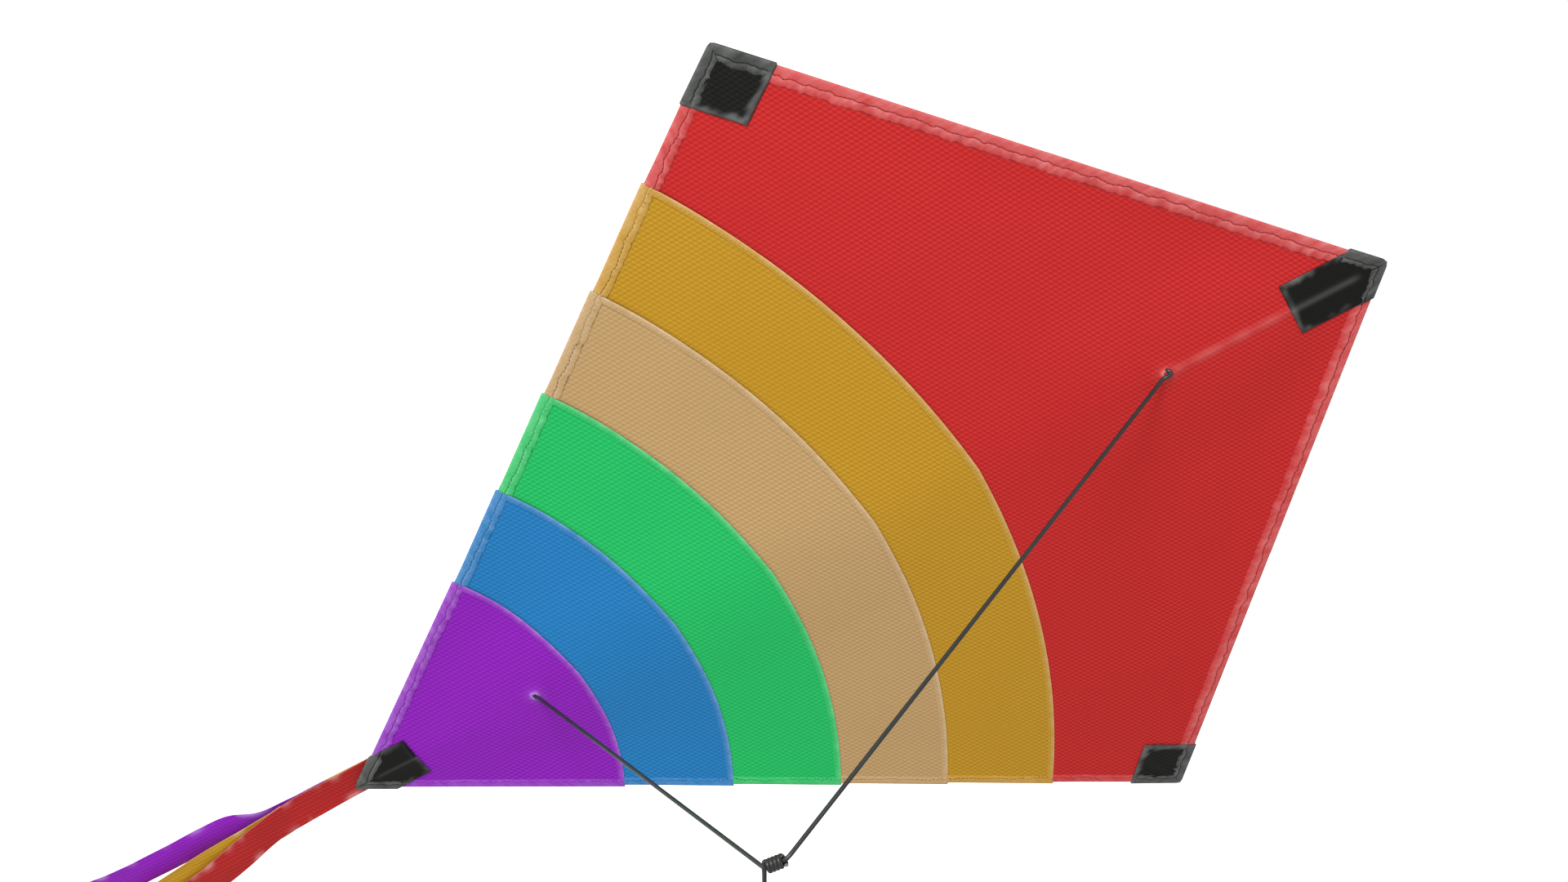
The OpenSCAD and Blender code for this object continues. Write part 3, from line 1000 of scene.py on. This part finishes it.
# ---- Cords ----
def resample(points, step):
    """A smooth curve through points (Catmull-Rom), cut into short steps.  Long straight
    runs are divided first, so that the curve only rounds their corners."""
    runs = [step_points(a, b, 5 * MM)[1:] for a, b in zip(points, points[1:])]
    points = points[:1] + [p for run in runs for p in run]
    ends = [points[0] * 2 - points[1]] + points + [points[-1] * 2 - points[-2]]
    out = []
    for i in range(1, len(ends) - 2):
        a, b, c, d = ends[i - 1:i + 3]
        count = max(1, ceil((c - b).length / step))
        for k in range(count):
            t = k / count
            out.append(0.5 * (
                2 * b + (c - a) * t + (2 * a - 5 * b + 4 * c - d) * t * t
                + (3 * b - a - 3 * c + d) * t ** 3
            ))
    return out + [points[-1]]


CORD_SIDES = 16
# Size of a cord's first and last ring, which rounds the rim of its cut end
CUT_ROUND = 0.86


def cord_path(points, step):
    """The smooth path of a cord through points given from the tail."""
    return resample([from_tail(p) for p in points], step * MM)


def cord_tube(name, path, radius=CORD_R):
    """A round cord along a path of row-frame points, with its own length and girth as
    UV coordinates."""
    rows, lengths = [], [0.0]
    normal = None
    last = len(path) - 1
    for i, p in enumerate(path):
        run = (path[min(i + 1, last)] - path[max(i - 1, 0)]).normalized()
        normal = normal or run.orthogonal().normalized()
        normal = (normal - run * normal.dot(run)).normalized()
        other = run.cross(normal)
        if i:
            lengths.append(lengths[-1] + (p - path[i - 1]).length)
        r = radius * MM * (CUT_ROUND if i in (0, last) else 1)
        angles = [tau * k / CORD_SIDES for k in range(CORD_SIDES)]
        rows.append([p + (normal * cos(a) + other * sin(a)) * r for a in angles])
    piece = Builder().grid(rows, ring=True, caps=True).build(name, CORD, CUT_END, pale=False)
    for polygon in piece.data.polygons[-2:]:
        polygon.material_index = 1
        polygon.use_smooth = False
    layer = piece.data.uv_layers.new(name="cord")
    for polygon in piece.data.polygons:
        at = [piece.data.loops[k].vertex_index for k in polygon.loop_indices]
        wraps = {v % CORD_SIDES for v in at} >= {0, CORD_SIDES - 1} and len(at) == 4
        for k, v in zip(polygon.loop_indices, at):
            around = v % CORD_SIDES / CORD_SIDES + (wraps and v % CORD_SIDES == 0)
            layer.data[k].uv = around, lengths[v // CORD_SIDES]
    return piece


def make_bridle():
    """The bridle: out of the lower hole, through the tow hitch, into the upper hole."""
    route = [(-0.4, 1.5, LOWER_HOLE), (-0.3, -1.4, LOWER_HOLE - 0.4)] + LOWER_LEG + HITCH_BEND
    route += UPPER_LEG + UPPER_HOOK
    path = cord_path(route, 3)
    piece = cord_tube("bridle_cord", path)
    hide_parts("bridle_line")
    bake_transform(piece)
    return piece, path


def hitch_frame(p):
    """A point given about the hitch's own axis, from the tail point."""
    return HITCH_AT + Matrix.Rotation(HITCH_TILT, 3, "X") @ Vector(p)


def coil_points(ring, half, turns, first):
    """A left-handed helix about the hitch's axis, from its lower end up."""
    steps = round(turns * 16)
    points = []
    for k in range(steps + 1):
        a = first - tau * k / 16
        points.append(Vector((ring * cos(a), ring * sin(a), half * (2 * k / steps - 1))))
    return points


# The hitch's turns: radius of their centre line, and half the length they take
COIL_R = CORD_D + 0.25
COIL_HALF = HITCH_TURNS * CORD_D / 2 - CORD_R


def make_hitch():
    """Turns of the leader round the bridle, side by side, and the cut end."""
    points = coil_points(COIL_R, COIL_HALF, HITCH_TURNS - 0.5, pi)
    points += [points[-1] + Vector((0.1, -d, 0.2 * d)) for d in (0.6, 1.2)]
    path = cord_path([hitch_frame(p) for p in points], 1.0)
    piece = cord_tube("hitch_wraps", path)
    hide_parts("tow_hitch")
    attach(piece, "hitch")
    return piece


def make_leader():
    """The leader, from the lowest turn of the hitch to the tow loop's knot."""
    start = [hitch_frame((-COIL_R, y, -COIL_HALF)) for y in (0.0, -2.6)]
    path = cord_path(start + LEADER, 2.5)
    piece = cord_tube("leader_cord", path)
    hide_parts("leader_line")
    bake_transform(piece)
    return piece, path


def loop_point(a):
    """The tow loop at angle a from its far end, a little narrowed towards the knot."""
    x = LOOP_R * sin(a) * (0.9 + 0.1 * cos(a))
    return Vector((x, -LOOP_R * cos(a), 0.5 * sin(2 * a))) * MM


def make_tow_loop():
    """The loop at the leader's end, and the overhand knot that closes it."""
    count = 40
    ring = [loop_point(tau * k / count) for k in range(count)]
    opened = [ring[(k + count // 2 + 1) % count] for k in range(count - 1)]
    knot_y = LOOP_R + 2.8
    ends = [Vector((0.6, knot_y, 0.4)) * MM, Vector((-0.6, knot_y, -0.4)) * MM]
    loop = cord_tube("tow_loop_cord", resample([ends[1]] + opened + [ends[0]], 1.2 * MM))
    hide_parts("tow_loop")
    turns = []
    for k in range(29):
        a = tau * k / 14
        y = knot_y - 0.4 + 0.14 * (k - 14)
        turns.append(Vector((2.0 * cos(a), y, 2.0 * sin(a))) * MM)
    turns.append(turns[-1] + Vector((1.0, 1.8, 1.2)) * MM)
    turns.append(turns[-1] + Vector((0.8, 2.2, 0.8)) * MM)
    knot = cord_tube("loop_knot_cord", resample(turns, 1.0 * MM))
    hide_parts("loop_knot")
    for piece in (loop, knot):
        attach(piece, "leader")
    return loop, knot


def make_spine_hitch(height, name):
    """The bridle's end: two wraps round the spine behind the sail, and its knot."""
    ring = ROD_R + 1.15
    wraps = []
    for k in range(34):
        a = -pi / 2 + tau * k / 16
        wraps.append((ring * cos(a), ROD_Y + ring * sin(a), height - 1.4 + 2.7 * k / 33))
    back = ROD_Y + ROD_R + 3.0
    knot = []
    for k in range(25):
        a = tau * k / 12
        z = height + 1.5 * sin(2 * a) * 0.6 - 1.6 + 0.14 * k
        knot.append((1.9 * cos(a) + 1.0, back + 1.3 * sin(a), z))
    knot += [(4.6, back + 1.6, height + 2.6), (6.2, back + 2.2, height + 5.2)]
    for part, points, thinner in (("_wraps", wraps, 0.15), ("_knot", knot, 0.1)):
        piece = cord_tube(name + part, cord_path(points, 1.0), CORD_R - thinner)
        if points is wraps:
            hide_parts(name)
        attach(piece, "kite")


# Lip of a bridle hole, as (distance out, distance behind the cloth, pale); pale is a
# painted highlight on the lip
LIP_FORM = [
    (1.4, 0.4, 0.0), (1.55, -0.5, 0.9), (2.0, -0.85, 1.2), (2.7, -0.5, 0.7), (3.8, -0.12, 0.25),
    (5.0, 0.1, 0.0),
]


def make_eyelet(height, colour):
    """The puckered lip of cloth round a bridle hole, with a painted highlight on its crest."""
    grid = []
    for reach, n, light in LIP_FORM:
        row = []
        for k in range(24):
            a = tau * k / 24
            r = reach * (1 + 0.12 * ragged(k, 2.2, height))
            x, w = r * cos(a) - 0.9, height + r * sin(a) - 0.2
            row.append((on_sail(1 if x >= 0 else -1, abs(x), w, n), light))
        grid.append(row)
    piece = Builder().grid(grid, ring=True).build(colour + "_eyelet", HEM_CLOTH[colour])
    on_kite(piece)


make_eyelet(UPPER_HOLE, "red")
make_eyelet(LOWER_HOLE, "purple")
make_spine_hitch(UPPER_HOLE, "upper_spine_hitch")
make_spine_hitch(LOWER_HOLE, "lower_spine_hitch")
tow_wraps = make_hitch()
bridle, bridle_path = make_bridle()
leader, leader_path = make_leader()
tow_ring, tow_knot = make_tow_loop()

# ---- Tail ribbons ----
# Each runs down from behind the tail pocket; the tables give sideways
# drift, distance behind the sail and twist in degrees against the length from the top.
ROOT_TOP = 16
ROOT_FOOT = -11
ROOT_Y = 7.2
ROW_STEP = 3
RIBBON_THICK = 0.15
TAB_THICK = 0.9
RIBBON_FORM = {
    "red": {
        "behind": -0.5,
        "x": [
            (0, -1), (28, -0.6), (62, 0), (93, 3.5), (130, 12), (162, 18.7), (210, 26),
            (300, 30), (400, 20), (500, 27), (600, 38), (700, 34),
        ],
        "y": [
            (0, 0), (30, -0.3), (70, -0.4), (110, -0.6), (160, -1), (240, 4), (340, -5),
            (450, 8), (560, -4), (700, 10),
        ],
        "turn": [
            (0, 0), (30, 3), (62, -4), (93, 5), (130, -3), (170, 4), (260, -18), (380, 16),
            (500, -14), (700, 22),
        ],
    },
    "amber": {
        "behind": 0.1,
        "x": [
            (0, -1), (30, -1), (60, 0), (85, 3.6), (100, 4.7), (118, 5.6), (145, 6.6), (178, 9.6),
            (250, 16), (380, 6), (500, 12), (600, 8), (700, 14),
        ],
        "y": [
            (0, 0), (40, 0.4), (90, 1.5), (140, 2.4), (200, 4), (300, 12), (400, 4), (520, 14),
            (620, 6), (700, 12),
        ],
        "turn": [
            (0, 0), (40, 2), (90, -3), (140, 2), (220, 10), (330, -20), (450, 18), (580, -10),
            (700, 14),
        ],
    },
    "purple": {
        "behind": 0.7,
        "x": [
            (0, -0.5), (40, -0.5), (72, -0.4), (94, -1.4), (116, -8), (140, -9), (165, -8.3),
            (200, -8), (240, -7), (360, -2), (480, -14), (600, -6), (700, -16),
        ],
        "y": [
            (0, 0), (40, 0.8), (80, 3), (110, 5.5), (140, 6.5), (200, 8), (300, 18), (420, 12),
            (540, 22), (700, 14),
        ],
        "turn": [
            (0, 0), (50, 4), (80, 8), (100, 10), (118, 8), (140, 10), (220, 6), (260, -10),
            (350, 22), (480, -12), (600, 16), (700, -20),
        ],
    },
}
RIBBON_ACROSS = (-0.5, -0.47, -0.42, -0.34, -0.22, -0.08, 0.08, 0.22, 0.34, 0.42, 0.47, 0.5)


def ribbon_rows(form):
    """Rows across a ribbon, from its root down, with slightly cupped edges."""
    rows = []
    z = ROOT_TOP
    behind = form["behind"]
    x0, y0 = form["x"][0][1], form["y"][0][1]
    for k in range(RIBBON_LENGTH // ROW_STEP + 1):
        s = ROW_STEP * k
        x, y = smooth_curve(form["x"], s), smooth_curve(form["y"], s)
        if k:
            z -= sqrt(max(0.1, ROW_STEP ** 2 - (x - x0) ** 2 - (y - y0) ** 2))
        x0, y0 = x, y
        turn = radians(smooth_curve(form["turn"], s))
        across = Vector((cos(turn), sin(turn), 0))
        out = Vector((-sin(turn), cos(turn), 0))
        row = []
        for v in RIBBON_ACROSS:
            flutter = 0.5 * noise.noise(Vector((s / 26, 4 * v, behind * 9))) * ease(s / 60)
            cup = 0.8 * (2 * v) ** 2 * sin(s / 37 + behind * 5) * ease(s / 80) + flutter
            p = Vector((x, ROOT_Y + behind + y, z)) + across * (v * RIBBON_W) + out * cup
            row.append(from_tail(p))
        rows.append(row)
    return rows


def ribbon_pale(i, seed):
    """Painted highlight along the cut edges, and pale patches here and there that fade
    inwards from them, of a ribbon's row i.
    """
    edge_patches = [max(0.0, 2.2 * ragged(3 * i, 13, seed + k) - 0.15) for k in (0, 1)]
    # Pale patches near the edges, and a painted highlight on the cut edges themselves
    return [
        min(1.0, edge_patches[v > 0] * ease((abs(v) - 0.28) / 0.2) + 0.7 * ease((abs(v) - 0.485) / 0.015))
        for v in RIBBON_ACROSS
    ]


def just_off(row, other):
    """A row of a ribbon very near to row, on the side of the other one."""
    return [(p.lerp(q, 0.05), pale) for (p, pale), (q, _) in zip(row, other)]


def make_ribbons():
    """The ribbons, each in two pieces: its root, sewn to the tab, and the part that
    hangs free."""
    split = (ROOT_TOP - ROOT_FOOT) // ROW_STEP
    roots = Builder()
    for index, (colour, form) in enumerate(RIBBON_FORM.items()):
        rows = [list(zip(row, ribbon_pale(i, index))) for i, row in enumerate(ribbon_rows(form))]
        join = rows[split]
        roots.grid(rows[:split] + [just_off(join, rows[split - 1]), join], slot=index)
        free = Builder().grid([join, just_off(join, rows[split + 1])] + rows[split + 1:])
        piece = free.build(colour + "_streamer_cloth", RIBBON_CLOTH[colour])
        thicken(piece, RIBBON_THICK, 0)
        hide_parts(colour + "_ribbon")
        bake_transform(piece)
    cloths = [RIBBON_CLOTH[c] for c in RIBBON_FORM]
    piece = thicken(roots.build("ribbon_roots", *cloths), RIBBON_THICK, 0)
    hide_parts("ribbon_header")
    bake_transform(piece)


def make_ribbon_tab():
    """The webbing tab behind the tail pocket that the ribbons are sewn to."""
    low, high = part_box("ribbon_tab")
    rows = []
    steps = 16
    for i in range(steps + 1):
        z = low.z + (high.z - low.z) * i / steps
        row = []
        for j in range(13):
            v = 2 * j / 12 - 1
            sag = 0.25 * MM * cos(pi * i / steps) * (1 - v * v)
            p = Vector((v * high.x, high.y + 0.5 * MM - 0.3 * MM * v * v + sag, z))
            # Painted sheen along the tab's two side edges
            row.append((p, 0.5 if j in (0, 12) else 0.0))
        rows.append(row)
    piece = thicken(Builder().grid(rows).build("ribbon_tab_webbing", STRIP), TAB_THICK)
    on_kite(piece, "ribbon_tab")


make_ribbon_tab()
make_ribbons()

# ---- Sail, pockets and frame ----
panels = [panel(i) for i in range(len(COLOURS))]
hems = [panel_hems(i) for i in range(len(COLOURS))]
threads = [stitching(i) for i in range(len(COLOURS))]
seams = [seam(i, SEAM_FORM, COLOURS[i], COLOURS[i] + "_seam") for i in range(len(SEAMS))]
backs = [
    seam(i, BACK_SEAM_FORM, COLOURS[i + 1], COLOURS[i + 1] + "_seam_back") for i in range(len(SEAMS))
]


def declare_panels():
    for i, piece in enumerate(panels):
        on_it = [hems[i], threads[i]] + ([seams[i]] if i < len(seams) else [])
        on_it += [backs[i - 1]] if i else []


declare_panels()
tip_pocket(1, "right_tip_pocket", 35.5, 5.2, 4.4, 0.7)
tip_pocket(-1, "left_tip_pocket", TIP_PATCH, 5.4, 4.9, 0.82)
strip_pocket("nose_pocket", SAIL_LENGTH - NOSE_PATCH[1], SAIL_LENGTH + 1.2, NOSE_PATCH[0], False)
strip_pocket("tail_pocket", -1.2, TAIL_PATCH[1], TAIL_PATCH[0], True)
strip_hems("nose_pocket", NOSE, UP_EDGE, 23.5, (5.6, 5.2), 81)
strip_hems("tail_pocket", TOE, DOWN_EDGE, 27, (5.8, 4.2), 91)

for node, material in {
    "spine": ROD, "left_spar": ROD, "right_spar": ROD, "cross_fitting": FITTING,
    "upper_stop_ring": CAP, "lower_stop_ring": CAP, "nose_cap": CAP, "tail_cap": CAP,
    "left_spar_cap": CAP, "right_spar_cap": CAP,
}.items():
    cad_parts[node].data.materials.clear()
    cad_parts[node].data.materials.append(material)


# ---- Floor and light ----
def seen_or_lighting(tree, seen, lighting):
    """A strength that is one value for the camera and another for lighting."""
    ray = tree.nodes.new("ShaderNodeLightPath")
    pick = tree.nodes.new("ShaderNodeMapRange")
    pick.inputs["To Min"].default_value = lighting
    pick.inputs["To Max"].default_value = seen
    tree.links.new(ray.outputs["Is Camera Ray"], pick.inputs["Value"])
    return pick.outputs["Result"]


FLOOR_REACH = 30
FLOOR_DROP = 0.03


def make_floor():
    low = cad_box[0][2] - FLOOR_DROP
    n = Nodes("floor_paper", 0.9)
    n.colour(n.mix(n.noise(3), linear(222, 222, 222), linear(226, 226, 225)))
    n.shader.inputs["Emission Color"].default_value = (1, 1, 1, 1)
    n.wire(seen_or_lighting(n.tree, 0.9, 0.1), n.shader.inputs["Emission Strength"])
    corners = [(x * FLOOR_REACH, y * FLOOR_REACH, low) for x, y in ((-1, -1), (1, -1), (1, 1), (-1, 1))]
    floor = mesh_object("floor", corners, [(0, 1, 2, 3)], n.material, smooth=False)


def make_light(name, at, aim, size, power):
    data = bpy.data.lights.new(name, "AREA")
    data.size = size
    data.energy = power
    lamp = bpy.data.objects.new(name, data)
    bpy.context.scene.collection.objects.link(lamp)
    lamp.location = at
    lamp.rotation_mode = "QUATERNION"
    lamp.rotation_quaternion = (Vector(aim) - Vector(at)).to_track_quat("-Z", "Y")


make_floor()
make_light("key", (-2.3, -1.0, 0.75), (0, 0.36, 0), 0.9, 62)
make_light("fill", (-0.5, -2.2, 1.6), (0, 0.36, 0), 1.6, 12)
make_light("rear", (1.6, 2.4, 1.4), (0, 0.36, 0), 1.6, 42)
world = bpy.data.worlds.new("studio")
world.use_nodes = True
backdrop = world.node_tree.nodes["Background"]
backdrop.inputs["Color"].default_value = (1, 1, 1, 1)
level = seen_or_lighting(world.node_tree, 1.0, 0.55)
world.node_tree.links.new(level, backdrop.inputs["Strength"])
bpy.context.scene.world = world
bpy.context.scene.view_settings.view_transform = "Standard"
